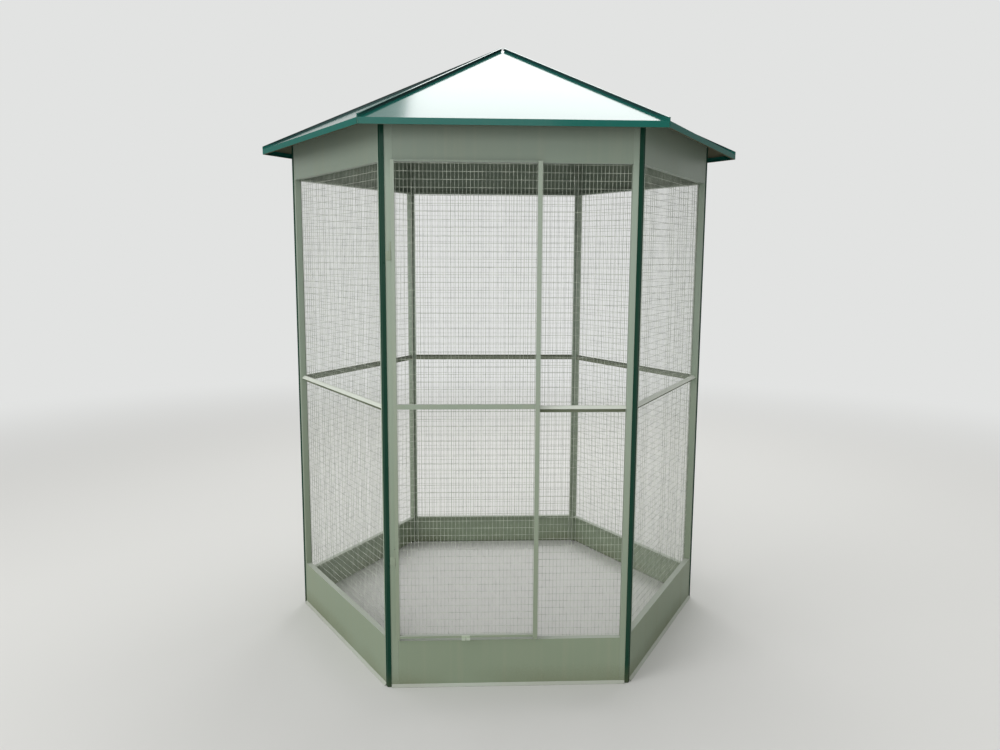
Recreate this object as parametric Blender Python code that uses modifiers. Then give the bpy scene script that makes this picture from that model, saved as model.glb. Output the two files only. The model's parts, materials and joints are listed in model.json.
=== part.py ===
"""Hexagonal garden aviary: six folded sheet wall panels with welded mesh, a hinged front door
and a six-sided sheet roof. Metres, +Z up. The origin is on the ground at the centre of the
hexagon, and the door is in the front wall, which faces -Y.
"""
import math

import bmesh
import bpy
from mathutils import Vector

# Driving dimensions: the wall ring
SIDE = 0.85                # hexagon side, corner to corner on the outer faces of the walls
WALL_DEPTH = 0.022         # how deep every wall frame is, front to back
WALL_SHEET = 0.0012        # thickness of the folded wall sheet
CLEAR = 0.0003             # gap left between two pieces that sit against each other
EAVE_TOP = 1.924           # height of the roof sheet at the eave
BAND_DROP = 0.1205         # from there down to the lower edge of the plain band under the roof
FRONT_KICK = 0.171         # height of the plain plate under the door
SIDE_KICK = 0.182          # the same plate on the two walls beside the front
BACK_KICK = 0.145          # and on the three walls at the back
STILE = 0.024              # width of a wall stile, measured from the corner
FRONT_LEFT_STILE = 0.038   # the front wall has wider ones: this one beside the hinges
FRONT_RIGHT_STILE = 0.031  # and this one beside the fixed section
KICK_SILL = 0.0043         # strip over the ground fold that runs on under the stiles
BACK_FOLD = 0.008          # fold that holds the mesh, at the back of stiles, plates and bands
GROUND_FLARE = 0.012       # length of the splayed fold that stands on the ground
FLARE_TURN = 48            # degrees by which that fold points below the horizontal
MID_RAIL_LOW = 0.9926      # lower edge of the sloping face of the wall mid rail
MID_RAIL_RISE = 0.010      # height of that face
MID_RAIL_TUCK = 0.0105     # how far the face leans back
MID_RAIL_SETBACK = 0.004   # from the wall face to the foot of the rail's face
MID_RAIL_SKIRT = 0.014     # flat fold below the rail, against the mesh

# Driving dimensions: welded mesh, drawn with fewer and thicker wires than the real 1.2 mm ones
WIRE_WIDE = 0.0034
WIRE_THICK = 0.003
WALL_COLUMNS = 7
WALL_ROWS = 7
FIXED_COLUMNS = 2
DOOR_COLUMNS = 4
MESH_LAP = 0.006           # how far the mesh runs over the folds behind it

# Driving dimensions: corner trims
TRIM_FLANGE = 0.012
TRIM_SHEET = 0.002

# Driving dimensions: door and its post, x from the front left corner
POST_LEFT = 0.510
POST_WIDTH = 0.012
LEAF_LEFT = 0.0325
LEAF_RIGHT = 0.523
LEAF_FOOT_UP = 0.008       # from the top of the kick plate up to the foot of the leaf
LEAF_HEAD_LAP = 0.005      # how far the leaf runs up over the top band
LEAF_DEPTH = 0.012
LEAF_GAP = 0.0018          # between the wall face and the back of the closed leaf
HINGE_STILE = 0.0115
LATCH_STILE = 0.015
BOTTOM_RAIL_UP = 0.0065    # from the foot of the stiles up to the bottom rail
BOTTOM_RAIL = 0.009
DOOR_MID_UP = 0.0034       # the door's mid rail over the walls' one
DOOR_MID_RAIL = 0.017
LUG_MIDDLE = 0.273
LUG_WIDE = 0.0287
LUG_SHEET = 0.0015
LUG_REACH = 0.0135
LUG_SLOT = 0.0028
LUG_SLOT_RISE = 0.004      # how far the slot runs up the upright part
LUG_UP = 0.0055            # from the foot of the stiles up to the flat top of the lug

# Driving dimensions: hinges
BARREL_RADIUS = 0.003
PIN_RADIUS = 0.0014
BORE_GAP = 0.0001
HINGE_AXIS_OUT = 0.0093    # from the wall face out to the hinge axis
HINGE_HALF = 0.030         # height of each half of a hinge
HINGE_PLATE = 0.0012
POST_PLATE_REACH = 0.036   # far edge of the fixed hinge plate, from the corner
HINGE_UP = 0.269           # from the foot of the leaf up to the lower hinge
HINGE_DOWN = 0.2595        # from the head of the leaf down to the upper hinge

# Driving dimensions: roof
EAVE_OVERHANG = 0.119      # from a wall corner out to the corner of the eave
ROOF_RISE = 0.398          # eave to where the sheets would meet
ROOF_SHEET = 0.001
FASCIA = 0.020
FASCIA_HEM = 0.008
RIB = 0.010                # upstanding fold along each hip
RIB_HEM = 0.0035
APEX_HOLE = 0.006          # distance from the centre at which the sheets stop
RIB_STOP = 0.012           # and at which the ribs stop

# Everything below follows from the values above
BAND_BOTTOM = EAVE_TOP - BAND_DROP
FOLD_TOP = WALL_SHEET * math.cos(math.radians(FLARE_TURN)) + GROUND_FLARE * math.sin(math.radians(FLARE_TURN))
SILL_TOP = FOLD_TOP + KICK_SILL
LEAF_BOTTOM = FRONT_KICK + LEAF_FOOT_UP
LEAF_TOP = BAND_BOTTOM + LEAF_HEAD_LAP
BOTTOM_RAIL_LOW = LEAF_BOTTOM + BOTTOM_RAIL_UP
DOOR_MID_LOW = MID_RAIL_LOW + DOOR_MID_UP
LUG_TOP = LEAF_BOTTOM + LUG_UP
EAVE_RADIUS = SIDE + EAVE_OVERHANG
APOTHEM = SIDE * math.cos(math.radians(30))
HALF = SIDE / 2
EAVE_APOTHEM = EAVE_RADIUS * math.cos(math.radians(30))
SLOPE = ROOF_RISE / EAVE_APOTHEM
MITRE = math.tan(math.radians(60))
CORNER_TURN = math.radians(60)
WALLS = ("front", "right_front", "right_back", "back", "left_back", "left_front")
KICKS = {"front": FRONT_KICK, "right_front": SIDE_KICK, "left_front": SIDE_KICK}
WIDE_STILES = {("front", -1): FRONT_LEFT_STILE, ("front", 1): FRONT_RIGHT_STILE}
CORNERS = ("front_right", "right", "back_right", "back_left", "left", "front_left")
HINGE_HEIGHTS = {"lower": LEAF_BOTTOM + HINGE_UP, "upper": LEAF_TOP - HINGE_DOWN - 2 * HINGE_HALF}
LEAF_BACK = -LEAF_GAP
LEAF_FRONT = LEAF_BACK - LEAF_DEPTH
AXIS_X = LEAF_LEFT - CLEAR - BARREL_RADIUS
AXIS_Y = -HINGE_AXIS_OUT

COLOURS = {
    "band": (0.20, 0.24, 0.19), "kick": (0.21, 0.26, 0.19), "stile": (0.27, 0.33, 0.27),
    "rail": (0.42, 0.46, 0.38), "mesh": (0.36, 0.39, 0.34), "trim": (0.008, 0.042, 0.022),
    "roof": (0.012, 0.075, 0.045), "door": (0.31, 0.36, 0.28), "hinge": (0.26, 0.31, 0.25),
    "lug": (0.40, 0.45, 0.38),
}
ROUGHNESS = {"roof": 0.16, "trim": 0.35, "mesh": 0.45, "lug": 0.4}
METALLIC = {"mesh": 0.6}


def clear_scene():
    for thing in list(bpy.data.objects):
        bpy.data.objects.remove(thing, do_unlink=True)


def new_collection(name):
    collection = bpy.data.collections.new(name)
    bpy.context.scene.collection.children.link(collection)
    return collection


def paint(kind):
    """One Principled material for each kind of piece."""
    found = bpy.data.materials.get(kind + "_finish")
    if found:
        return found
    material = bpy.data.materials.new(kind + "_finish")
    material.use_nodes = True
    shader = material.node_tree.nodes["Principled BSDF"]
    shader.inputs["Base Color"].default_value = (*COLOURS[kind], 1)
    shader.inputs["Roughness"].default_value = ROUGHNESS.get(kind, 0.5)
    shader.inputs["Metallic"].default_value = METALLIC.get(kind, 0.0)
    return material


def turned_empty(name, turn, distance):
    """An empty turned about Z, and set out from the centre along its own -Y."""
    empty = bpy.data.objects.new(name, None)
    AVIARY.objects.link(empty)
    empty.rotation_euler = (0, 0, turn)
    empty.location = (distance * math.sin(turn), -distance * math.cos(turn), 0)
    return empty


def add_object(name, bm, kind, parent, location=(0, 0, 0), collection=None):
    mesh = bpy.data.meshes.new(name)
    bm.to_mesh(mesh)
    bm.free()
    thing = bpy.data.objects.new(name, mesh)
    (collection or AVIARY).objects.link(thing)
    thing.parent = parent
    thing.location = location
    if kind:
        mesh.materials.append(paint(kind))
    return thing


def thicken(thing, thickness, exact=False):
    """Solidify away from the side that the faces look to."""
    wall = thing.modifiers.new("Thickness", "SOLIDIFY")
    wall.thickness = thickness
    wall.offset = -1
    if exact:
        wall.solidify_mode = "NON_MANIFOLD"
        wall.nonmanifold_thickness_mode = "CONSTRAINTS"
        wall.nonmanifold_merge_threshold = 0.00001
    else:
        wall.use_even_offset = True
    return thing


def everything(bm):
    return bm.verts[:] + bm.edges[:] + bm.faces[:]


def push_edges(bm, edges, move):
    """Extrude edges into new faces, and return the new edges at the far side."""
    made = bmesh.ops.extrude_edge_only(bm, edges=edges)["geom"]
    verts = [item for item in made if isinstance(item, bmesh.types.BMVert)]
    bmesh.ops.translate(bm, verts=verts, vec=move)
    return [item for item in made if isinstance(item, bmesh.types.BMEdge)
            and all(vert in verts for vert in item.verts)]


def folded(points, run):
    """An open folded sheet: the line of folds through points, pushed along run."""
    bm = bmesh.new()
    verts = [bm.verts.new(point) for point in points]
    edges = [bm.edges.new(pair) for pair in zip(verts, verts[1:])]
    push_edges(bm, edges, run)
    return bm


def faces_look(bm, where, way):
    """Turn all faces over unless the face nearest to where looks along way."""
    bmesh.ops.recalc_face_normals(bm, faces=bm.faces[:])
    nearest = min(bm.faces, key=lambda face: (face.calc_center_median() - Vector(where)).length)
    if nearest.normal.dot(Vector(way)) < 0:
        bmesh.ops.reverse_faces(bm, faces=bm.faces[:])


def channel(name, points, run, look_at, look_way, kind, parent, location=(0, 0, 0), sheet=WALL_SHEET):
    """A folded sheet piece whose thickness grows away from the side that look_way names."""
    bm = folded(points, run)
    faces_look(bm, look_at, look_way)
    return thicken(add_object(name, bm, kind, parent, location), sheet)


def cut_mitres(bm, shift):
    """Cut both ends of a wall piece along the corner planes, shift back from them."""
    for way in (-1, 1):
        bmesh.ops.bisect_plane(bm, geom=everything(bm), clear_outer=True,
                               plane_co=(way * (HALF - shift), 0, 0), plane_no=(way * MITRE, 1, 0))


def roof_under(y):
    """Height of the underside of the roof sheet, at y from the wall face, inwards positive."""
    lean = math.cos(math.atan(SLOPE))
    return EAVE_TOP + (EAVE_APOTHEM - APOTHEM + y) * SLOPE - (ROOF_SHEET + CLEAR) / lean


def end_shift():
    """How far a plain sheet end stays back from the corner to clear the next wall's."""
    return WALL_SHEET / MITRE + CLEAR / math.sin(math.radians(60))


def stile_width(wall, side):
    return WIDE_STILES.get((wall, side), STILE)


def panel_ends(wall):
    """Left and right ends of the plate and the band of a wall, between its stiles."""
    return -HALF + stile_width(wall, -1) + CLEAR, HALF - stile_width(wall, 1) - CLEAR


def make_kick(wall, frame):
    top = KICKS.get(wall, BACK_KICK)
    turn = math.radians(FLARE_TURN)
    splay = Vector((0, -GROUND_FLARE * math.cos(turn), -GROUND_FLARE * math.sin(turn)))
    points = [(-HALF, 0, FOLD_TOP), (-HALF, 0, top), (-HALF, WALL_DEPTH, top),
              (-HALF, WALL_DEPTH, top - BACK_FOLD)]
    bm = folded(points, (SIDE, 0, 0))
    cut_mitres(bm, end_shift())
    left, right = panel_ends(wall)
    lip_end = HALF - TRIM_FLANGE - 2 * CLEAR
    for x in (-lip_end, left, right, lip_end):
        bmesh.ops.bisect_plane(bm, geom=everything(bm), plane_co=(x, 0, 0), plane_no=(1, 0, 0))
    bmesh.ops.bisect_plane(bm, geom=everything(bm), plane_co=(0, 0, SILL_TOP), plane_no=(0, 0, 1))
    beside = [face for face in bm.faces if face.calc_center_median().z > SILL_TOP
              and not left < face.calc_center_median().x < right]
    bmesh.ops.delete(bm, geom=beside, context="FACES")
    foot = [edge for edge in bm.edges if all(vert.co.z < FOLD_TOP + CLEAR for vert in edge.verts)
            and all(abs(vert.co.x) < lip_end + CLEAR for vert in edge.verts)]
    push_edges(bm, foot, splay)
    faces_look(bm, (0, 0, top / 2), (0, -1, 0))
    thicken(add_object(wall + "_kick_plate", bm, "kick", frame), WALL_SHEET)


def make_band(wall, frame):
    left, right = panel_ends(wall)
    points = [(left, WALL_DEPTH, BAND_BOTTOM + BACK_FOLD), (left, WALL_DEPTH, BAND_BOTTOM),
              (left, 0, BAND_BOTTOM), (left, 0, roof_under(0)), (left, WALL_DEPTH, roof_under(WALL_DEPTH))]
    middle = (0, 0, (BAND_BOTTOM + roof_under(0)) / 2)
    channel(wall + "_top_band", points, (right - left, 0, 0), middle, (0, -1, 0), "band", frame)


def make_stile(wall, side, frame):
    """side is -1 for the left stile, seen from outside, and 1 for the right one."""
    low = SILL_TOP + CLEAR
    width = stile_width(wall, side)
    start = CLEAR / math.sin(math.radians(60))
    plan = [(start + WALL_DEPTH / MITRE, WALL_DEPTH), (start, 0), (width, 0), (width, WALL_DEPTH),
            (width - BACK_FOLD, WALL_DEPTH)]
    points = [(side * -x, y, 0) for x, y in plan]
    run = (0, 0, roof_under(0) - low)
    name = wall + ("_left_stile" if side < 0 else "_right_stile")
    channel(name, points, run, (side * -width / 2, 0, run[2] / 2), (0, -1, 0), "stile", frame,
            (side * HALF, 0, low))


def make_mid_rail(wall, left, right, frame):
    """Sloping bead with a return under it and a skirt down the front of the mesh."""
    foot = MID_RAIL_SETBACK
    back = WALL_DEPTH - WALL_SHEET
    top = MID_RAIL_LOW + MID_RAIL_RISE
    points = [(left, back, top), (left, foot + MID_RAIL_TUCK, top), (left, foot, MID_RAIL_LOW),
              (left, back, MID_RAIL_LOW), (left, back, MID_RAIL_LOW - MID_RAIL_SKIRT)]
    middle = ((left + right) / 2, foot + MID_RAIL_TUCK / 2, MID_RAIL_LOW + MID_RAIL_RISE / 2)
    channel(wall + "_mid_rail", points, (right - left, 0, 0), middle, (0, -1, 0), "rail", frame)


def wire_net(name, left, right, low, high, front, columns, rows, parent):
    """A flat net of welded wires as one plate with square-cut gaps, its face at y = front."""
    bm = bmesh.new()
    bmesh.ops.create_grid(bm, x_segments=columns, y_segments=rows, size=1)
    bmesh.ops.scale(bm, verts=bm.verts[:], vec=((right - left) / 2, (high - low) / 2, 1))
    cells = bm.faces[:]
    bmesh.ops.inset_individual(bm, faces=cells, thickness=WIRE_WIDE / 2, use_even_offset=True)
    bmesh.ops.delete(bm, geom=cells, context="FACES")
    net = add_object(name, bm, "mesh", parent, ((left + right) / 2, front, (low + high) / 2))
    net.rotation_euler = (math.radians(90), 0, 0)
    return thicken(net, WIRE_THICK)


def make_wall(index, wall):
    frame = turned_empty(wall + "_wall_frame", index * CORNER_TURN, APOTHEM)
    make_kick(wall, frame)
    make_band(wall, frame)
    make_stile(wall, -1, frame)
    make_stile(wall, 1, frame)
    left = -HALF + stile_width(wall, -1)
    right = HALF - stile_width(wall, 1)
    columns = WALL_COLUMNS
    net_left = left - MESH_LAP
    if wall == "front":
        make_post(frame)
        left = -HALF + POST_LEFT + POST_WIDTH
        columns = FIXED_COLUMNS
        net_left = left - POST_WIDTH + WALL_SHEET
    make_mid_rail(wall, left + CLEAR, right - CLEAR, frame)
    low = KICKS.get(wall, BACK_KICK) - MESH_LAP
    wire_net(wall + "_mesh", net_left, right + MESH_LAP, low, BAND_BOTTOM + MESH_LAP,
             WALL_DEPTH + CLEAR, columns, WALL_ROWS, frame)
    return frame


def make_post(frame):
    """The door post: a channel that the latch stile closes against."""
    points = [(0, WALL_DEPTH, 0), (0, 0, 0), (POST_WIDTH, 0, 0), (POST_WIDTH, WALL_DEPTH, 0)]
    low = FRONT_KICK + CLEAR
    tall = BAND_BOTTOM - CLEAR - low
    channel("front_door_post", points, (0, 0, tall), (POST_WIDTH / 2, 0, tall / 2), (0, -1, 0), "stile",
            frame, (-HALF + POST_LEFT, 0, low))


def make_trim(index, corner):
    """Folded corner strip over the joint between wall index and the next one."""
    turn = (index + 0.5) * CORNER_TURN
    frame = turned_empty(corner + "_corner_frame", turn, SIDE)
    tilt = math.radians(30)
    along = Vector((math.cos(tilt), math.sin(tilt), 0))
    out = Vector((math.sin(tilt), -math.cos(tilt), 0))
    right = along * TRIM_FLANGE + out * CLEAR
    left = Vector((-right.x, right.y, 0))
    fold = Vector((0, -CLEAR / math.cos(tilt), 0))
    tall = roof_under(-CLEAR - TRIM_SHEET)
    bm = folded([left, fold, right], (0, 0, tall))
    faces_look(bm, (right.x / 2, right.y / 2, tall / 2), -out)
    thicken(add_object(corner + "_corner_trim", bm, "trim", frame), TRIM_SHEET)


def make_roof_panel(index, wall):
    """One triangular sheet with a drip edge at the eave and a standing rib along each hip."""
    frame = turned_empty(wall + "_roof_frame", index * CORNER_TURN, 0)
    tilt = math.radians(30)
    seam = ROOF_SHEET + CLEAR
    half_eave = EAVE_APOTHEM * math.tan(tilt) - seam / math.cos(tilt)
    tip = seam / math.sin(tilt)
    bm = bmesh.new()
    corners = [(-half_eave, -EAVE_APOTHEM, EAVE_TOP), (half_eave, -EAVE_APOTHEM, EAVE_TOP),
               (0, -tip, EAVE_TOP + (EAVE_APOTHEM - tip) * SLOPE)]
    bm.faces.new([bm.verts.new(corner) for corner in corners])
    bmesh.ops.bisect_plane(bm, geom=everything(bm), plane_co=(0, -APEX_HOLE, 0), plane_no=(0, 1, 0),
                           clear_outer=True)
    bmesh.ops.bisect_plane(bm, geom=everything(bm), plane_co=(0, -RIB_STOP, 0), plane_no=(0, 1, 0))
    rim = [edge for edge in bm.edges if edge.is_boundary]
    eave = [edge for edge in rim if all(vert.co.y < CLEAR - EAVE_APOTHEM for vert in edge.verts)]
    hips = [edge for edge in rim if edge not in eave
            and all(vert.co.y < CLEAR - RIB_STOP for vert in edge.verts)]
    drip = push_edges(bm, eave, (0, 0, -FASCIA))
    hem = {vert for edge in push_edges(bm, drip, (0, FASCIA_HEM, 0)) for vert in edge.verts}
    narrow = 1 - FASCIA_HEM * math.tan(tilt) / half_eave
    bmesh.ops.scale(bm, verts=list(hem), vec=(narrow, 1, 1))
    for side in (-1, 1):
        hip = [edge for edge in hips if edge.verts[0].co.x * side > 0]
        crest = push_edges(bm, hip, (0, 0, RIB))
        push_edges(bm, crest, (-side * RIB_HEM / math.cos(tilt), 0, 0))
    middle = -EAVE_APOTHEM / 2
    faces_look(bm, (0, middle, EAVE_TOP + (EAVE_APOTHEM + middle) * SLOPE), (0, 0, 1))
    thicken(add_object(wall + "_roof_panel", bm, "roof", frame), ROOF_SHEET, exact=True)


def make_leaf(pivot):
    """Door leaf: five channel bars round a mesh, in the pivot's own frame."""
    left = LEAF_LEFT - AXIS_X
    right = LEAF_RIGHT - AXIS_X
    front = LEAF_FRONT - AXIS_Y
    back = LEAF_BACK - AXIS_Y
    inner_left = left + HINGE_STILE
    inner_right = right - LATCH_STILE
    net_front = back - CLEAR - WIRE_THICK
    run = (0, 0, LEAF_TOP - LEAF_BOTTOM)
    for name, x0, x1 in (("door_hinge_stile", left, inner_left), ("door_latch_stile", inner_right, right)):
        points = [(x0, back, LEAF_BOTTOM), (x0, front, LEAF_BOTTOM), (x1, front, LEAF_BOTTOM),
                  (x1, back, LEAF_BOTTOM)]
        middle = ((x0 + x1) / 2, front, LEAF_BOTTOM + run[2] / 2)
        channel(name, points, run, middle, (0, -1, 0), "door", pivot)
    start = inner_left + CLEAR
    run = (inner_right - CLEAR - start, 0, 0)
    bars = (("door_bottom_rail", BOTTOM_RAIL_LOW, BOTTOM_RAIL_LOW + BOTTOM_RAIL, back),
            ("door_mid_rail", DOOR_MID_LOW, DOOR_MID_LOW + DOOR_MID_RAIL, net_front - CLEAR),
            ("door_top_rail", BAND_BOTTOM, LEAF_TOP, back))
    for name, z0, z1, deep in bars:
        points = [(start, deep, z0), (start, front, z0), (start, front, z1), (start, deep, z1)]
        channel(name, points, run, (start + run[0] / 2, front, (z0 + z1) / 2), (0, -1, 0), "door", pivot)
    wire_net("door_mesh", start, start + run[0], BOTTOM_RAIL_LOW + BOTTOM_RAIL + CLEAR,
             BAND_BOTTOM - CLEAR, net_front, DOOR_COLUMNS, WALL_ROWS, pivot)


def make_lug(pivot):
    """Angle lug at the foot of the door, with a slot that parts its lip into two."""
    middle = LUG_MIDDLE - AXIS_X
    face = LEAF_FRONT - AXIS_Y - CLEAR - LUG_SHEET
    left = middle - LUG_WIDE / 2
    high = BOTTOM_RAIL_LOW + BOTTOM_RAIL
    tip = face - LUG_REACH
    points = [(left, face, high), (left, face, LUG_TOP), (left, tip, LUG_TOP)]
    lug = channel("door_pull_lug", points, (LUG_WIDE, 0, 0), (middle, face, high), (0, -1, 0), "lug", pivot,
                  sheet=LUG_SHEET)
    slot = box_between((-LUG_SLOT / 2, -LUG_SHEET, -2 * LUG_SHEET),
                       (LUG_SLOT / 2, LUG_REACH + 2 * LUG_SHEET, LUG_SLOT_RISE))
    join_to(lug, slot, "lug_slot", "DIFFERENCE", (middle, tip, LUG_TOP))


def box_between(low, high):
    bm = bmesh.new()
    bmesh.ops.create_cube(bm, size=1)
    size = [b - a for a, b in zip(low, high)]
    bmesh.ops.scale(bm, verts=bm.verts[:], vec=size)
    bmesh.ops.translate(bm, verts=bm.verts[:], vec=[(a + b) / 2 for a, b in zip(low, high)])
    return bm


def rod(radius, low, high, segments=20):
    bm = bmesh.new()
    bmesh.ops.create_cone(bm, cap_ends=True, segments=segments, radius1=radius, radius2=radius,
                          depth=high - low)
    bmesh.ops.translate(bm, verts=bm.verts[:], vec=(0, 0, (low + high) / 2))
    return bm


def join_to(thing, bm, name, operation="UNION", location=None):
    """Add a Boolean with a hidden helper solid made from bm."""
    helper = add_object(name, bm, None, thing.parent, location or thing.location, CUTTERS)
    helper.hide_render = True
    helper.display_type = "WIRE"
    step = thing.modifiers.new(name, "BOOLEAN")
    step.operation = operation
    step.object = helper


def make_hinge(level, height, frame, pivot):
    """Lift-off hinge: the fixed half carries the pin, and the door half drops over it."""
    inner = AXIS_X - BARREL_RADIUS
    wall = -CLEAR - AXIS_Y
    plate = box_between((TRIM_FLANGE + 2 * CLEAR - AXIS_X, wall - HINGE_PLATE, 0),
                        (POST_PLATE_REACH - AXIS_X, wall, HINGE_HALF))
    fixed = add_object(level + "_hinge_fixed_half", plate, "hinge", frame,
                       (-HALF + AXIS_X, AXIS_Y, height))
    web = box_between((inner - AXIS_X, 0, 0),
                      (inner - AXIS_X + HINGE_PLATE, wall - HINGE_PLATE / 2, HINGE_HALF))
    join_to(fixed, web, level + "_fixed_web")
    join_to(fixed, rod(BARREL_RADIUS, 0, HINGE_HALF), level + "_fixed_barrel")
    join_to(fixed, rod(PIN_RADIUS, HINGE_HALF / 2, 2 * HINGE_HALF - PIN_RADIUS), level + "_hinge_pin")
    leaf_side = LEAF_LEFT - AXIS_X - CLEAR
    low = HINGE_HALF + CLEAR
    high = 2 * HINGE_HALF
    arm = box_between((leaf_side - HINGE_PLATE, LEAF_FRONT - AXIS_Y + CLEAR, low),
                      (leaf_side, LEAF_BACK - AXIS_Y - CLEAR, high))
    moving = add_object(level + "_hinge_door_half", arm, "hinge", pivot, (0, 0, height))
    join_to(moving, rod(BARREL_RADIUS, low, high), level + "_door_barrel")
    join_to(moving, rod(PIN_RADIUS + BORE_GAP, 0, 3 * HINGE_HALF), level + "_pin_bore", "DIFFERENCE")


def make_door(frame):
    pivot = bpy.data.objects.new("door_pivot", None)
    AVIARY.objects.link(pivot)
    pivot.parent = frame
    pivot.location = (-HALF + AXIS_X, AXIS_Y, 0)
    make_leaf(pivot)
    make_lug(pivot)
    for level, height in HINGE_HEIGHTS.items():
        make_hinge(level, height, frame, pivot)


clear_scene()
AVIARY = new_collection("aviary")
CUTTERS = new_collection("aviary_cutters")
frames = [make_wall(index, wall) for index, wall in enumerate(WALLS)]
for index, corner in enumerate(CORNERS):
    make_trim(index, corner)
for index, wall in enumerate(WALLS):
    make_roof_panel(index, wall)
make_door(frames[0])
print("aviary:", sum(1 for thing in AVIARY.objects if thing.type == "MESH"), "pieces")
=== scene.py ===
import json
from math import cos, pi, radians, sin

import bmesh
import bpy
from mathutils import Matrix, Vector, noise


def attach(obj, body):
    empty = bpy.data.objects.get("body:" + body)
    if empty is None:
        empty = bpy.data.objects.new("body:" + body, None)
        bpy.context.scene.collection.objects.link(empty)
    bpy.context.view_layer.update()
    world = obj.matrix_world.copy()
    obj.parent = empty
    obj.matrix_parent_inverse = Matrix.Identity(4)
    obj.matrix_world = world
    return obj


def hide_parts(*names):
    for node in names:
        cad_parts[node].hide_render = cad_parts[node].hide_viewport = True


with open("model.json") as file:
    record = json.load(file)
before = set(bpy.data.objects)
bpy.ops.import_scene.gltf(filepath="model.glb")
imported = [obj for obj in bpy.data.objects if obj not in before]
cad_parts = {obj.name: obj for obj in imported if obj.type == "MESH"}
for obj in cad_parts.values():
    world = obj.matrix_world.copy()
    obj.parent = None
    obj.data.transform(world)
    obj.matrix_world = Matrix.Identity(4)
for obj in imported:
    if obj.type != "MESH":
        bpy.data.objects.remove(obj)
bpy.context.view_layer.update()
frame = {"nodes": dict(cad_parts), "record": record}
print("frame loaded:", len(frame["nodes"]), "nodes")

walls = ["front", "right_front", "right_back", "back", "left_back", "left_front"]
corners = ["front_right", "right", "back_right", "back_left", "left", "front_left"]
wallTurn = radians(60)
slotOfNode = {part["node"]: part["material_slot"] for part in frame["record"]["subparts"]}
bodyOfNode = {node: body for body, nodes in frame["record"]["behaviour"]["bodies"].items()
              for node in nodes}


def linear(red, green, blue):
    # a colour as it is seen, 0 to 255, turned into the renderer's own values
    def one(value):
        value = value / 255
        return value / 12.92 if value <= 0.04045 else ((value + 0.055) / 1.055) ** 2.4
    return (one(red), one(green), one(blue), 1)


class Shade:
    # wraps one shader socket, so that numbers over a surface can be written as sums
    def __init__(self, tree, socket=None):
        self.tree = tree
        self.socket = socket

    def node(self, kind, settings=None, inputs=None, out=0):
        made = self.tree.nodes.new("ShaderNode" + kind)
        for name, value in (settings or {}).items():
            setattr(made, name, value)
        for name, value in (inputs or {}).items():
            if isinstance(value, Shade):
                self.tree.links.new(value.socket, made.inputs[name])
            else:
                made.inputs[name].default_value = value
        return Shade(self.tree, made.outputs[out])

    def sum(self, operation, first, second=0.0):
        return self.node("Math", {"operation": operation}, {0: first, 1: second})

    def __add__(self, other):
        return self.sum("ADD", self, other)

    def __radd__(self, other):
        return self.sum("ADD", other, self)

    def __sub__(self, other):
        return self.sum("SUBTRACT", self, other)

    def __rsub__(self, other):
        return self.sum("SUBTRACT", other, self)

    def __mul__(self, other):
        return self.sum("MULTIPLY", self, other)

    def __truediv__(self, other):
        return self.sum("DIVIDE", self, other)

    def held(self):
        # kept between 0 and 1
        return self.node("Clamp", {}, {"Value": self})

    def between(self, low, high):
        # 0 at low, 1 at high, smooth on the way
        return self.node("MapRange", {"interpolation_type": "SMOOTHSTEP"},
                         {"Value": self, "From Min": low, "From Max": high})

    def mixed(self, first, second):
        # two colours, with this as the share of the second; the node's sockets for colours have
        # the same names as those for numbers, so they are given by their places
        return self.node("Mix", {"data_type": "RGBA"}, {"Factor": self, 6: first, 7: second}, out=2)


def startFinish(name):
    finish = bpy.data.materials.new(name)
    finish.use_nodes = True
    tree = finish.node_tree
    return finish, tree.nodes["Principled BSDF"], Shade(tree)


def waves(shade, place, scale, detail):
    # noise from 0 to 1, with scale waves in a metre
    return shade.node("TexNoise", {}, {"Vector": place, "Scale": scale, "Detail": detail})


def plug(shade, target, name):
    shade.tree.links.new(shade.socket, target.inputs[name])


paint = {
    # the walls are all one paint; the kick, band, stile, rail and door colours are lit and shaded copies
    # of it, the bands darker with painted shade of the eave and the rails paler with a painted highlight
    # of the sky
    "colours": {
        "kick_paint": (131, 144, 122), "band_paint": (122, 135, 121), "stile_paint": (148, 162, 147),
        "rail_paint": (198, 206, 190), "door_paint": (147, 159, 144), "lug_metal": (172, 184, 162),
        "hinge_paint": (137, 149, 130), "trim_paint": (22, 58, 45), "roof_paint": (24, 96, 86),
    },
    # what the stiles and the door turn to lower down, how far, and from what height to what height
    "lowTone": (122, 134, 108),
    "lowShare": {"stile_paint": 0.55, "door_paint": 0.6},
    "lowHeight": (1.5, 0.1),
    # painted shade of the eave: how far the stiles turn to the darker tone of the bands at their heads
    "eaveShadeShare": {"stile_paint": 0.8},
    "eaveShadeHeight": (1.72, 1.86),
    # painted shade on the sides of the standing ribs of the roof, above its eave folds, which do not look
    # up
    "ribShadeTone": (26, 62, 60),
    "ribHeight": (1.93, 1.96),
    # the dull coat on the underside of the roof
    "backing": (92, 88, 72),
    # painted shade on the lips and backs of the mid rails
    "lipShadeTone": (100, 108, 86),
    # cloudy patches in that coat and that painted shade
    "mottle": {"from": 0.3, "to": 0.7, "share": 0.15},
    # faces that look up get a painted highlight of the sky, and the paint along a fold is paler, partly
    # worn and partly a painted highlight
    "skyLight": 0.24,
    "foldLight": {"trim_paint": 0.02, "roof_paint": 0.02},
    "plainFoldLight": 0.07,
    "roughness": {"trim_paint": 0.38, "roof_paint": 0.34, "lug_metal": 0.36},
    "plainRoughness": 0.43,
    # specular level, which is 0 where a clear coat shines instead
    "shine": {"trim_paint": 0.0, "roof_paint": 0.0},
    "plainShine": 0.26,
    # the clear coat on upright faces, and on those that look up
    "clearCoat": {"roof_paint": (0.2, 0.95), "trim_paint": (0.08, 0.08)},
    "coatRoughness": 0.14,
}

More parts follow.
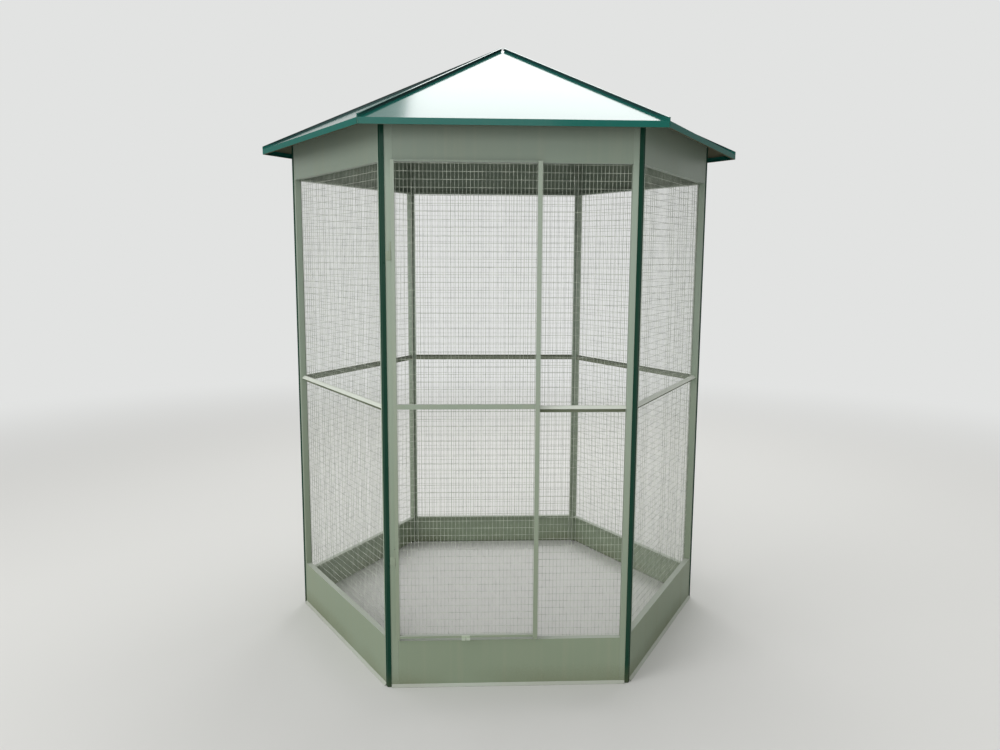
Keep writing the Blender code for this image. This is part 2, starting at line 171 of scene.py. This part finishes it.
# the patterns are in waves in a metre, and a share from one value of a pattern to another
weather = {
    "broad": 3.1,                 # cloudy patches
    "broadDetail": 3.0,
    "streak": (38, 38, 1.3),      # upright runs of rain and dust
    "streakDetail": 2.0,
    "speck": 240.0,               # the ragged edge of the soil splashes
    "speckDetail": 2.0,
    "dust": (158, 156, 134),
    "dustRuns": {"from": 0.46, "to": 0.72, "share": 0.10},
    "dustPatches": {"from": 0.42, "to": 0.7, "share": 0.06},
    "dusty": {"trim_paint": 0.25, "roof_paint": 0.12},      # share of the dust that a wall takes
    "soil": (98, 96, 66),
    "soilTop": 0.075,             # how high the rain splashes the soil
    "soilRagged": 0.9,
    "soilPatches": {"from": 0.3, "to": 0.62, "share": 0.42},
    "roughPatches": 0.10,
    "roughDirt": 0.5,
    "peel": 900.0,                # orange peel of the paint
    "peelHigh": 0.00003,
    "dents": 5.0,                 # slow waves of a thin sheet
    "dentsHigh": 0.0009,
}


def patches(pattern, kind):
    # the part of a pattern that shows, as a share
    return pattern.between(kind["from"], kind["to"]) * kind["share"]


def paintFinish(slot):
    finish, shader, shade = startFinish(slot)
    colour = linear(*paint["colours"][slot])
    place = shade.node("TexCoord", out="Object")
    height = shade.node("SeparateXYZ", {}, {"Vector": place}, out="Z")
    broad = waves(shade, place, weather["broad"], weather["broadDetail"])
    stretched = shade.node("Mapping", {"vector_type": "POINT"},
                           {"Vector": place, "Scale": weather["streak"]})
    streak = waves(shade, stretched, 1.0, weather["streakDetail"])
    speck = waves(shade, place, weather["speck"], weather["speckDetail"])
    fold = shade.node("Attribute", {"attribute_name": "fold"}, {}, out="Fac")
    skyward = shade.node("Attribute", {"attribute_name": "skyward"}, {}, out="Fac")
    underside = shade.node("Attribute", {"attribute_name": "underside"}, {}, out="Fac")

    dustShare = (patches(streak, weather["dustRuns"]) + patches(broad, weather["dustPatches"])).held()
    dustShare = dustShare * weather["dusty"].get(slot, 1.0)
    lowShare = height.between(*paint["lowHeight"]) * paint["lowShare"].get(slot, 0.0)
    # painted shade of the eave: the stiles darken to the band tone at their heads
    eaveShadeShare = height.between(*paint["eaveShadeHeight"]) * paint["eaveShadeShare"].get(slot, 0.0)
    toned = eaveShadeShare.mixed(lowShare.mixed(colour, linear(*paint["lowTone"])),
                            linear(*paint["colours"]["band_paint"]))
    if slot == "roof_paint":
        # painted shade: the sides of the roof's ribs, which do not look up, are darker
        ribShadeShare = height.between(*paint["ribHeight"]) * (1 - skyward)
        toned = ribShadeShare.mixed(toned, linear(*paint["ribShadeTone"]))
    dusty = dustShare.mixed(toned, linear(*weather["dust"]))
    ragged = (speck - 0.5) * weather["soilRagged"]
    splash = ((weather["soilTop"] - height) / weather["soilTop"] + ragged).held()
    splash = splash * patches(broad, weather["soilPatches"])
    soiled = splash.mixed(dusty, linear(*weather["soil"]))
    # painted highlight: faces that look up, and the folds, which are also worn, are mixed toward white
    skyHighlight = 0.0 if slot == "roof_paint" else paint["skyLight"]
    highlightAndWear = fold * paint["foldLight"].get(slot, paint["plainFoldLight"]) + skyward * skyHighlight
    highlightedAndWorn = highlightAndWear.held().mixed(soiled, (1, 1, 1, 1))
    mottle = 1 - paint["mottle"]["share"] + patches(broad, paint["mottle"])
    # the rails take painted shade on their lips and backs, the roof its dull coat underneath
    below = paint["lipShadeTone"] if slot == "rail_paint" else paint["backing"]
    plug((underside * mottle).mixed(highlightedAndWorn, linear(*below)), shader, "Base Color")

    rough = paint["roughness"].get(slot, paint["plainRoughness"]) + (broad - 0.5) * weather["roughPatches"]
    rough = rough + (dustShare + splash + underside) * weather["roughDirt"]
    plug(rough.held(), shader, "Roughness")
    if slot in paint["clearCoat"]:
        upright, lying = paint["clearCoat"][slot]
        plug((upright + skyward * (lying - upright)) * (1 - underside), shader, "Coat Weight")
        shader.inputs["Coat Roughness"].default_value = paint["coatRoughness"]
    shader.inputs["Specular IOR Level"].default_value = paint["shine"].get(slot, paint["plainShine"])
    peel = waves(shade, place, weather["peel"], 1.0) * weather["peelHigh"]
    dents = waves(shade, place, weather["dents"], 1.0) * weather["dentsHigh"]
    bump = shade.node("Bump", {}, {"Height": peel + dents, "Distance": 1.0, "Strength": 1.0})
    plug(bump, shader, "Normal")
    return finish


finishes = {slot: paintFinish(slot) for slot in paint["colours"]}
print("paint finishes:", len(finishes))

wireZinc = {
    "colour": (186, 192, 178),
    "dull": (138, 146, 134),
    "patch": 34.0,                # dull patches of the zinc, waves in a metre
    "patchDetail": 3.0,
    "patches": {"from": 0.35, "to": 0.68, "share": 0.8},
    "grain": 700.0,
    "grainShare": 0.3,
    "metallic": 0.25,
    "roughness": 0.42,
    "dullRoughness": 0.18,        # what a dull patch adds to it
}


def wireFinish():
    finish, shader, shade = startFinish("mesh_wire")
    place = shade.node("TexCoord", out="Object")
    patch = waves(shade, place, wireZinc["patch"], wireZinc["patchDetail"])
    grain = (waves(shade, place, wireZinc["grain"], 1.0) - 0.5) * wireZinc["grainShare"]
    tone = (patches(patch, wireZinc["patches"]) + grain).held()
    plug(tone.mixed(linear(*wireZinc["colour"]), linear(*wireZinc["dull"])), shader, "Base Color")
    plug((wireZinc["roughness"] + tone * wireZinc["dullRoughness"]).held(), shader, "Roughness")
    shader.inputs["Metallic"].default_value = wireZinc["metallic"]
    return finish


finishes["mesh_wire"] = wireFinish()


def finishPiece(name, bm, slot, body, *nodes):
    mesh = bpy.data.meshes.new(name)
    bm.to_mesh(mesh)
    bm.free()
    mesh.materials.append(finishes[slot])
    piece = bpy.data.objects.new(name, mesh)
    bpy.context.scene.collection.objects.link(piece)
    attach(piece, body)
    if nodes:
        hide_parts(*nodes)
    return piece


sheetFolds = {
    "thickness": {"trim_paint": 0.002, "roof_paint": 0.001, "lug_metal": 0.0015},
    "usualThickness": 0.0012,
    "outer": 0.0018,              # how far a bend rounds the sheet, outside and inside
    "inner": 0.0006,
    "arcSteps": 3,
    "bendAngle": radians(12),     # the least angle that is a bend
    "flange": 1.6,                # the least width of a flange beside it, in thicknesses
    "rim": 0.00025,
    "rimAngle": radians(50),
    # the upward part of a face's normal: above the first it looks up, below the second it looks down,
    # and below the third it is the lip or the back of a rail
    "looksUp": 0.5,
    "looksDown": -0.5,
    "lip": 0.3,
    "merge": 0.00002,             # corners nearer than this are one
    "flat": radians(1),           # faces at less than this angle are one
}


def solidOf(node):
    # a copy of the solid's mesh, with its flat faces whole again
    bm = bmesh.new()
    bm.from_mesh(frame["nodes"][node].data)
    bmesh.ops.remove_doubles(bm, verts=bm.verts[:], dist=sheetFolds["merge"])
    bmesh.ops.dissolve_limit(bm, angle_limit=sheetFolds["flat"], verts=bm.verts[:], edges=bm.edges[:])
    return bm


def rimsOf(bm):
    return [edge for edge in bm.edges if len(edge.link_faces) == 2
            and edge.calc_face_angle() > sheetFolds["rimAngle"]]


def bevelled(bm, edges, offset, segments):
    return bmesh.ops.bevel(bm, geom=edges, offset=offset, offset_type="OFFSET", segments=segments,
                           profile=0.5, affect="EDGES", clamp_overlap=True, material=-1)["faces"]


def faceWidth(face, edge):
    return face.calc_area() / edge.calc_length()


def foldedSheet(node):
    # the same sheet as the solid, with real bends where it is folded and eased rims
    slot = slotOfNode[node]
    flange = sheetFolds["flange"] * sheetFolds["thickness"].get(slot, sheetFolds["usualThickness"])
    bm = solidOf(node)
    fold = bm.faces.layers.float.new("fold")
    for bend, outward in ((sheetFolds["inner"], False), (sheetFolds["outer"], True)):
        bends = [edge for edge in bm.edges if len(edge.link_faces) == 2
                 and edge.calc_face_angle() > sheetFolds["bendAngle"] and edge.is_convex == outward
                 and min(faceWidth(face, edge) for face in edge.link_faces) > flange]
        for face in bevelled(bm, bends, bend, sheetFolds["arcSteps"]):
            face[fold] = 1
    for face in bevelled(bm, rimsOf(bm), sheetFolds["rim"], 1):
        face[fold] = 1
    skyward = bm.faces.layers.float.new("skyward")
    underside = bm.faces.layers.float.new("underside")
    # faces of the roof that look down take its dull coat, and the lips and backs of the rails take painted
    # shade
    belowUp = {"roof_paint": sheetFolds["looksDown"], "rail_paint": sheetFolds["lip"]}
    for face in bm.faces:
        if face.normal.z > sheetFolds["looksUp"]:
            face[skyward] = 1
        if slot in belowUp and face.normal.z < belowUp[slot]:
            face[underside] = 1
    return finishPiece(node + "_folded", bm, slot, bodyOfNode[node], node)


hingeEase = {"rim": 0.0002, "steps": 2, "roundUnder": radians(32)}


def easedHinge(node):
    # the same hinge half as the solid, with round barrels and eased rims
    bm = solidOf(node)
    bevelled(bm, rimsOf(bm), hingeEase["rim"], hingeEase["steps"])
    for face in bm.faces:
        face.smooth = True
    for edge in bm.edges:
        edge.smooth = len(edge.link_faces) == 2 and edge.calc_face_angle() < hingeEase["roundUnder"]
    return finishPiece(node + "_eased", bm, slotOfNode[node], bodyOfNode[node], node)


for node, slot in slotOfNode.items():
    if slot == "hinge_paint":
        easedHinge(node)
    elif slot != "mesh_wire":
        foldedSheet(node)
print("folded sheets done")

rivet = {
    "radius": 0.0024, "top": 0.0013, "height": 0.0010, "sides": 10,
    "first": 0.10, "pitch": 0.345, "rows": 6,
    "cornerOut": 0.85,            # from the middle of the cage to a corner of its walls
    "fromFold": 0.0064,           # from there along a flange of the trim
    "sheetTop": 0.0023,           # and out to its face, into which the rivet is sunk a little
    "sink": 0.0001,
}


def trimRivets(index, corner):
    # painted blind rivets that hold a corner trim, a row on each of its flanges
    bm = bmesh.new()
    tilt = wallTurn / 2
    for hand in (-1, 1):
        out = Vector((hand * sin(tilt), -cos(tilt), 0))
        along = Vector((hand * cos(tilt), sin(tilt), 0))
        seat = along * rivet["fromFold"] + out * (rivet["sheetTop"] - rivet["sink"])
        for row in range(rivet["rows"]):
            height = rivet["first"] + row * rivet["pitch"]
            spot = Vector((0, -rivet["cornerOut"], height)) + seat + out * rivet["height"] / 2
            place = Matrix.Translation(spot) @ out.to_track_quat("Z", "Y").to_matrix().to_4x4()
            made = bmesh.ops.create_cone(bm, cap_ends=True, segments=rivet["sides"], depth=rivet["height"],
                                         radius1=rivet["radius"], radius2=rivet["top"], matrix=place)
            for vert in made["verts"]:
                for face in vert.link_faces:
                    face.smooth = len(face.verts) == 4
    bmesh.ops.rotate(bm, cent=(0, 0, 0), matrix=Matrix.Rotation((index + 0.5) * wallTurn, 3, "Z"),
                     verts=bm.verts[:])
    return finishPiece(corner + "_trim_rivets", bm, "trim_paint", "cage")


for index, corner in enumerate(corners):
    trimRivets(index, corner)
print("rivets done")

wire = {
    "radius": 0.0006, "columns": 0.0127, "rows": 0.0254, "sides": 6,
    "step": 0.10,                 # length of a straight piece of a wire
    "bite": 0.0002,               # how far crossing wires are welded into each other
    "edge": 4,                    # both edges of a sheet together, in radii
    # how far a wire strays in its sheet, and the sheet out of its plane
    "wander": 0.00025, "belly": 0.0008,
    "waves": 3,                   # how fast a wire strays, in waves in a metre
    "bellyWaves": 0.6,            # and the sheet, as a share of that
    "calm": 0.15,                 # width of the border in which both fade out
    "levelShift": Vector((9, 4, 2)), "bellyShift": Vector((3, 8, 5)),
}


def turnedBox(node, turn):
    # the box round a node in the frame of its own wall, as if it were the front one
    back = Matrix.Rotation(-turn, 3, "Z")
    points = [back @ vertex.co for vertex in frame["nodes"][node].data.vertices]
    low = Vector(min(point[axis] for point in points) for axis in range(3))
    high = Vector(max(point[axis] for point in points) for axis in range(3))
    return low, high


def oneWire(bm, start, run):
    # a straight wire from start along run, as rings close enough together to bend
    steps = max(2, round(run.length / wire["step"]))
    turn = run.to_track_quat("Z", "Y").to_matrix().to_4x4()
    ring = bmesh.ops.create_circle(bm, cap_ends=True, segments=wire["sides"], radius=wire["radius"],
                                   matrix=Matrix.Translation(start) @ turn)["verts"]
    made = list(ring)
    edges = list({edge for vert in ring for edge in vert.link_edges})
    for step in range(steps):
        grown = bmesh.ops.extrude_edge_only(bm, edges=edges)["geom"]
        verts = [item for item in grown if isinstance(item, bmesh.types.BMVert)]
        edges = [item for item in grown if isinstance(item, bmesh.types.BMEdge)
                 and all(vert in verts for vert in item.verts)]
        bmesh.ops.translate(bm, verts=verts, vec=run / steps)
        made += verts
    bmesh.ops.contextual_create(bm, geom=edges)
    return made


def copiesAlong(bm, made, offset, count):
    geom = made + list({edge for vert in made for edge in vert.link_edges})
    geom += list({face for vert in made for face in vert.link_faces})
    for index in range(1, count):
        copy = bmesh.ops.duplicate(bm, geom=geom)["geom"]
        verts = [item for item in copy if isinstance(item, bmesh.types.BMVert)]
        bmesh.ops.translate(bm, verts=verts, vec=offset * index)


def weldedMesh(node, turn):
    low, high = turnedBox(node, turn)
    size = high - low
    middle = (low + high) / 2
    gap = wire["radius"] - wire["bite"] / 2
    edge = wire["edge"] * wire["radius"]
    columns = int((size.x - edge) / wire["columns"]) + 1
    rows = int((size.z - edge) / wire["rows"]) + 1
    bm = bmesh.new()
    first = Vector((middle.x - wire["columns"] * (columns - 1) / 2, middle.y + gap, low.z))
    made = oneWire(bm, first, Vector((0, 0, size.z)))
    copiesAlong(bm, made, Vector((wire["columns"], 0, 0)), columns)
    first = Vector((low.x, middle.y - gap, middle.z - wire["rows"] * (rows - 1) / 2))
    made = oneWire(bm, first, Vector((size.x, 0, 0)))
    copiesAlong(bm, made, Vector((0, 0, wire["rows"])), rows)
    shift = Vector((turn * wire["waves"], 0, 0))
    for vert in bm.verts:
        spot = vert.co * wire["waves"] + shift
        inner = min(vert.co.x - low.x, high.x - vert.co.x, vert.co.z - low.z, high.z - vert.co.z)
        ease = min(1, max(0, inner / wire["calm"]))
        vert.co.x += wire["wander"] * ease * noise.noise(spot)
        vert.co.z += wire["wander"] * ease * noise.noise(spot + wire["levelShift"])
        vert.co.y += wire["belly"] * ease * noise.noise(spot * wire["bellyWaves"] + wire["bellyShift"])
    bmesh.ops.rotate(bm, cent=(0, 0, 0), matrix=Matrix.Rotation(turn, 3, "Z"), verts=bm.verts[:])
    bmesh.ops.recalc_face_normals(bm, faces=bm.faces[:])
    return finishPiece(node + "_wires", bm, "mesh_wire", bodyOfNode[node], node)


for index, wall in enumerate(walls):
    weldedMesh(wall + "_mesh", index * wallTurn)
weldedMesh("door_mesh", 0)
print("welded mesh done")

studio = {
    "backdrop": (226, 227, 226),
    "floor": (212, 212, 209),
    "floorRadius": 40,
    "floorSides": 96,
    "floorDrop": 0.0005,
    "floorRoughness": 0.9,
    "floorFade": (3.2, 7.0),      # where the floor turns to the tone of the backdrop
    # strength of the light from all round, low and high, how far up it changes from the one to the
    # other, and how much less of it comes from the right
    "skyLow": 0.24,
    "skyHigh": 0.78,
    "skyRange": (-0.05, 0.85),
    "rightDarker": 0.75,
    "lamps": {
        "overhead": {"place": (1.05, 2.6, 5.6), "aim": (0.6, 0, 1.6), "size": (3.6, 4.5), "watts": 165},
        "key": {"place": (-4.8, -3.6, 3.6), "aim": (-0.2, -0.3, 1.3), "size": (2.6, 2.6), "watts": 92},
        "fill": {"place": (-0.6, -6.0, 2.4), "aim": (0, 0, 1.0), "size": (2.6, 2.6), "watts": 85},
    },
}


def makeStudio():
    world = bpy.data.worlds.new("studio")
    bpy.context.scene.world = world
    world.use_nodes = True
    tree = world.node_tree
    shade = Shade(tree)
    seen = shade.node("LightPath", out="Is Camera Ray")
    glossy = shade.node("LightPath", out="Is Glossy Ray")
    through = shade.node("LightPath", out="Is Transmission Ray")
    share = (seen + glossy + through).held()
    backdrop = linear(*studio["backdrop"])
    way = shade.node("TexCoord", out="Generated")
    sideways = shade.node("SeparateXYZ", {}, {"Vector": way}, out="X")
    upwards = shade.node("SeparateXYZ", {}, {"Vector": way}, out="Z")
    sky = studio["skyLow"] + upwards.between(*studio["skyRange"]) * (studio["skyHigh"] - studio["skyLow"])
    colour = share.mixed(sky * (1 - sideways * studio["rightDarker"]), backdrop)
    tree.links.new(colour.socket, tree.nodes["Background"].inputs["Color"])

    bm = bmesh.new()
    bmesh.ops.create_circle(bm, cap_ends=True, segments=studio["floorSides"], radius=studio["floorRadius"])
    bmesh.ops.translate(bm, verts=bm.verts[:], vec=(0, 0, -studio["floorDrop"]))
    mesh = bpy.data.meshes.new("floor")
    bm.to_mesh(mesh)
    bm.free()
    floor = bpy.data.objects.new("floor", mesh)
    bpy.context.scene.collection.objects.link(floor)
    finish, shader, shade = startFinish("floor")
    shader.inputs["Base Color"].default_value = linear(*studio["floor"])
    shader.inputs["Roughness"].default_value = studio["floorRoughness"]
    shader.inputs["Specular IOR Level"].default_value = 0.0
    tree = finish.node_tree
    place = shade.node("TexCoord", out="Object")
    away = shade.node("VectorMath", {"operation": "LENGTH"}, {0: place}, out="Value")
    seen = shade.node("LightPath", out="Is Camera Ray")
    glossy = shade.node("LightPath", out="Is Glossy Ray")
    far = away.between(*studio["floorFade"]) * (seen + glossy).held()
    glow = tree.nodes.new("ShaderNodeEmission")
    glow.inputs["Color"].default_value = backdrop
    both = tree.nodes.new("ShaderNodeMixShader")
    tree.links.new(far.socket, both.inputs[0])
    tree.links.new(shader.outputs[0], both.inputs[1])
    tree.links.new(glow.outputs[0], both.inputs[2])
    tree.links.new(both.outputs[0], tree.nodes["Material Output"].inputs["Surface"])
    mesh.materials.append(finish)

    for name, lamp in studio["lamps"].items():
        data = bpy.data.lights.new(name, "AREA")
        data.shape = "RECTANGLE"
        data.size, data.size_y = lamp["size"]
        data.energy = lamp["watts"]
        light = bpy.data.objects.new(name, data)
        bpy.context.scene.collection.objects.link(light)
        light.location = lamp["place"]
        aim = Vector(lamp["aim"]) - Vector(lamp["place"])
        light.rotation_euler = aim.to_track_quat("-Z", "Y").to_euler()
        light.visible_camera = False


makeStudio()
print("studio done")

photoView = {
    "focalPixels": 822.4, "imageWidth": 1000, "sensorWidth": 36,
    "place": (-0.1606, -3.4582, 1.5105), "yaw": -0.0454, "pitch": -0.1458, "roll": 0.0054,
}


def makeCamera():
    data = bpy.data.cameras.new("camera")
    data.sensor_width = photoView["sensorWidth"]
    data.lens = photoView["focalPixels"] / photoView["imageWidth"] * data.sensor_width
    camera = bpy.data.objects.new("camera", data)
    bpy.context.scene.collection.objects.link(camera)
    turn = Matrix.Rotation(photoView["yaw"], 4, "Z")
    turn = turn @ Matrix.Rotation(pi / 2 + photoView["pitch"], 4, "X")
    turn = turn @ Matrix.Rotation(photoView["roll"], 4, "Z")
    camera.matrix_world = Matrix.Translation(photoView["place"]) @ turn
    bpy.context.scene.camera = camera


makeCamera()
bpy.context.scene.view_settings.view_transform = "Standard"
print("camera done")
